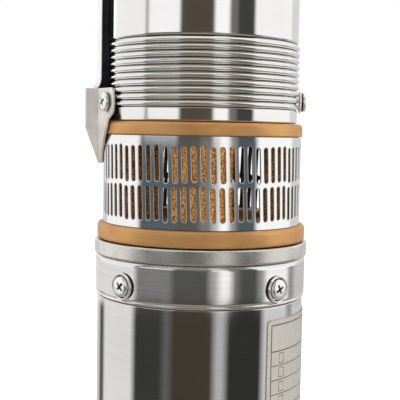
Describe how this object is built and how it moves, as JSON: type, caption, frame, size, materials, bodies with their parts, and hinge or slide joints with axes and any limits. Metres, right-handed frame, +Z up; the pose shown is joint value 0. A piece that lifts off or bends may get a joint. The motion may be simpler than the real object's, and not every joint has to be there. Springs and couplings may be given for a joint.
{
  "type": "submersible well pump",
  "caption": "Slim borehole pump with a polished steel motor, a brass inlet behind a slotted strainer, a ribbed pump tube, a folded lead guard and a brass outlet head.",
  "frame": {"origin": "centre of the flat underside of the base cap, on the pump's axis", "axes": "+Z up the pump's axis from the motor to the outlet, +X away from the lead guard, -Y towards the side that the picture shows"},
  "size_m": [0.103, 0.0988, 0.6213],
  "materials": {
    "polished_steel": "polished",
    "satin_steel": "satin",
    "dark_steel": "ground",
    "brass": "cast, with turned rings",
    "rubber": "matte",
    "plate": "matte"
  },
  "bodies": {
    "root": {"base_cap": "satin_steel", "base_collar": "polished_steel", "base_collar_cup_1": "polished_steel", "base_collar_cup_2": "polished_steel", "base_collar_cup_3": "polished_steel", "base_collar_cup_4": "polished_steel", "base_collar_screw_1": "polished_steel", "base_collar_screw_2": "polished_steel", "base_collar_screw_3": "polished_steel", "base_collar_screw_4": "polished_steel", "cable_guard": "polished_steel", "clip_screw_back": "polished_steel", "clip_screw_front": "polished_steel", "coupling": "satin_steel", "discharge_head": "brass", "guard_clip": "satin_steel", "guard_scoop": "satin_steel", "inlet_housing": "brass", "lead_gland": "rubber", "lower_tube_screw": "polished_steel", "lower_tube_washer": "satin_steel", "motor_band": "satin_steel", "motor_lead": "rubber", "motor_shaft": "dark_steel", "motor_tube": "polished_steel", "outlet_valve": "satin_steel", "pump_shaft": "dark_steel", "pump_tube": "polished_steel", "rating_plate": "plate", "scoop_screw_back": "polished_steel", "scoop_screw_front": "polished_steel", "strainer": "polished_steel", "top_collar": "polished_steel", "top_collar_cup_1": "polished_steel", "top_collar_cup_2": "polished_steel", "top_collar_cup_3": "polished_steel", "top_collar_cup_4": "polished_steel", "top_collar_screw_1": "polished_steel", "top_collar_screw_2": "polished_steel", "top_collar_screw_3": "polished_steel", "top_collar_screw_4": "polished_steel", "upper_tube_screw": "polished_steel", "upper_tube_washer": "satin_steel"}
  },
  "joints": []
}
